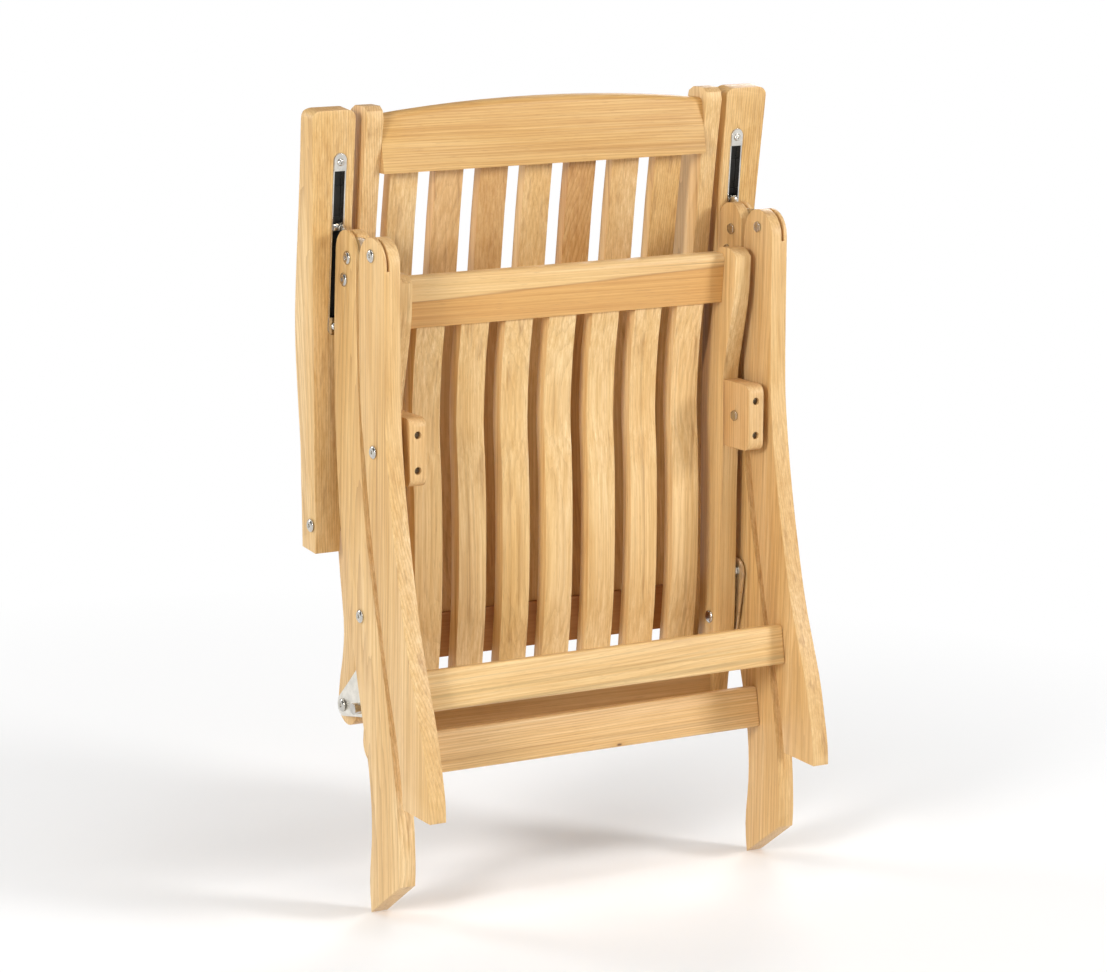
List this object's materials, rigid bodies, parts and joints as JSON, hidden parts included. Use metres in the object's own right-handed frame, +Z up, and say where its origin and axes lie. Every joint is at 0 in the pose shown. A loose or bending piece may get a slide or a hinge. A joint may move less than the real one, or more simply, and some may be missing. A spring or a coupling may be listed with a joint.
{
  "type": "folding armchair",
  "caption": "Folding slatted timber armchair, stored flat, whose legs, seat, reclining back and armrests unfold on linked pivots.",
  "frame": {"origin": "middle of the folded chair's footprint, on the floor under the rear heels", "axes": "+Z up, X across the chair, -Y the side that faces forwards when the folded chair is stood up"},
  "size_m": [0.584, 0.28, 0.8921],
  "materials": {
    "teak_legs": "sanded teak, unoiled",
    "teak_frame": "sanded teak, unoiled",
    "teak_slats": "sanded teak, unoiled",
    "teak_arms": "sanded teak, unoiled",
    "steel": "stainless, satin",
    "brass": "plain",
    "black_plastic": "matte"
  },
  "bodies": {
    "rear_frame": {"rear_leg_right": "teak_legs", "rear_leg_left": "teak_legs", "rear_stretcher": "teak_legs", "hinge_tongue_right": "steel", "hinge_tongue_left": "steel", "track_slider_right": "steel", "track_slider_left": "steel", "link_leg_bolt_right": "steel", "link_leg_bolt_left": "steel"},
    "front_frame": {"front_leg_right": "teak_legs", "front_leg_left": "teak_legs", "front_stretcher": "teak_legs", "leg_hinge_bolt_right": "steel", "leg_hinge_bolt_left": "steel", "seat_pivot_bolt_right": "steel", "seat_pivot_bolt_left": "steel", "seat_pivot_spacer_right": "brass", "seat_pivot_spacer_left": "brass"},
    "seat": {"seat_rail_right": "teak_frame", "seat_rail_left": "teak_frame", "seat_front_rail": "teak_frame", "seat_rear_rail": "teak_frame", "seat_slat_1": "teak_slats", "seat_slat_2": "teak_slats", "seat_slat_3": "teak_slats", "seat_slat_4": "teak_slats", "seat_slat_5": "teak_slats", "seat_slat_6": "teak_slats", "seat_slat_7": "teak_slats", "pivot_block_right": "teak_frame", "pivot_block_left": "teak_frame", "link_seat_bolt_right": "steel", "link_seat_bolt_left": "steel"},
    "link_plates": {"link_plate_right": "steel", "link_plate_left": "steel", "stop_pin_right": "steel", "stop_pin_left": "steel"},
    "back": {"back_pivot_bolt_right": "steel", "back_pivot_bolt_left": "steel", "back_stile_right": "teak_frame", "back_stile_left": "teak_frame", "back_top_rail": "teak_frame", "back_bottom_rail": "teak_frame", "back_slat_1": "teak_slats", "back_slat_2": "teak_slats", "back_slat_3": "teak_slats", "back_slat_4": "teak_slats", "back_slat_5": "teak_slats", "back_slat_6": "teak_slats", "back_slat_7": "teak_slats", "arm_pivot_bolt_right": "steel", "arm_pivot_bolt_left": "steel", "arm_pivot_spacer_right": "steel", "arm_pivot_spacer_left": "steel"},
    "arms": {"armrest_right": "teak_arms", "armrest_left": "teak_arms", "arm_track_right": "steel", "arm_track_left": "steel", "track_liner_right": "black_plastic", "track_liner_left": "black_plastic"}
  },
  "joints": [
    {"name": "fold", "type": "hinge", "parent": "rear_frame", "child": "link_plates", "pos_m": [0, 0.01999, 0.33402], "axis": [1, 0, 0], "range_deg": [0, 136]},
    {"name": "front_leg_swing", "type": "hinge", "parent": "rear_frame", "child": "front_frame", "pos_m": [0, -0.01004, 0.73872], "axis": [1, 0, 0], "range_deg": [-34, 0]},
    {"name": "seat_tilt", "type": "hinge", "parent": "front_frame", "child": "seat", "pos_m": [0, -0.01303, 0.52375], "axis": [1, 0, 0], "range_deg": [0, 68]},
    {"name": "back_turn", "type": "hinge", "parent": "link_plates", "child": "back", "pos_m": [0, 0.11099, 0.21002], "axis": [1, 0, 0], "range_deg": [-203.6, 0]},
    {"name": "arm_turn", "type": "hinge", "parent": "back", "child": "arms", "pos_m": [0, 0.11401, 0.42076], "axis": [1, 0, 0], "range_deg": [0, 100.2]}
  ],
  "couplings": [
    {"joint": "front_leg_swing", "follows": "fold", "ratio": -0.24898},
    {"joint": "seat_tilt", "follows": "fold", "ratio": 0.49912},
    {"joint": "back_turn", "follows": "fold", "ratio": -1.4958},
    {"joint": "arm_turn", "follows": "fold", "ratio": 0.73547}
  ]
}
